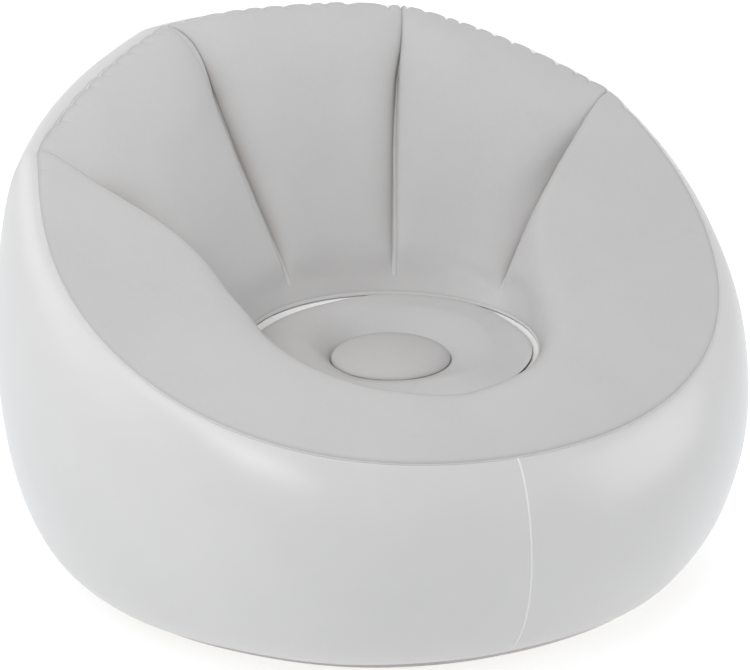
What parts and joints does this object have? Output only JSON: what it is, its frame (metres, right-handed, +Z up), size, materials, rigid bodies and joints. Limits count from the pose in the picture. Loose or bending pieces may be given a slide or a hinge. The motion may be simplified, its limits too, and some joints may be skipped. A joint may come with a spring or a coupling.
{
  "type": "inflatable chair",
  "caption": "Round inflatable lounge chair with a flocked top, a low front, a high quilted back, a sunken round seat with a button, smooth film sides and a screw air valve.",
  "frame": {"origin": "on the floor, under the middle of the chair's box", "axes": "+Z up, -Y the chair's front, +X across to the right of a person who looks at the front"},
  "size_m": [1.0192, 0.9704, 0.7061],
  "materials": {
    "flock": "matte",
    "wall_film": "satin",
    "base_film": "satin",
    "inner_film": "satin",
    "valve_plastic": "satin",
    "seal_rubber": "matte",
    "flap_silicone": "satin"
  },
  "bodies": {
    "chair": {"arm_panel": "flock", "back_panel_centre": "flock", "back_panel_left": "flock", "back_panel_right": "flock", "base_sheet": "base_film", "seam_web_left_inner": "inner_film", "seam_web_left_outer": "inner_film", "seam_web_right_inner": "inner_film", "seam_web_right_outer": "inner_film", "seat_button": "flock", "seat_collar": "wall_film", "seat_tie_tube": "inner_film", "seat_top": "flock", "side_wall_left": "wall_film", "side_wall_right": "wall_film", "valve_base": "valve_plastic"},
    "seal": {"valve_seal_ring": "seal_rubber"},
    "plug": {"valve_plug": "valve_plastic"},
    "cap": {"valve_cap": "valve_plastic"},
    "flap": {"valve_flap": "flap_silicone"}
  },
  "joints": [
    {"name": "plug_rise", "type": "slide", "parent": "chair", "child": "seal", "axis": [0.3368, 0.9016, -0.2714], "range_m": [0, 0.0053]},
    {"name": "plug_turn", "type": "hinge", "parent": "seal", "child": "plug", "pos_m": [0.17924, 0.42217, 0.15023], "axis": [0.3368, 0.9016, -0.2714], "range_deg": [0, 540]},
    {"name": "cap_hinge", "type": "hinge", "parent": "plug", "child": "cap", "pos_m": [0.18107, 0.42778, 0.12727], "axis": [-0.9356, 0.3529, 0.0115], "range_deg": [0, 170]},
    {"name": "flap_hinge", "type": "hinge", "parent": "plug", "child": "flap", "pos_m": [0.1795, 0.4224, 0.16459], "axis": [-0.9356, 0.3529, 0.0115], "range_deg": [0, 40], "stiffness_Nm_per_rad": 0.002, "springref_deg": -11.46}
  ],
  "couplings": [
    {"joint": "plug_rise", "follows": "plug_turn", "m_per_rad": 0.00055704}
  ]
}
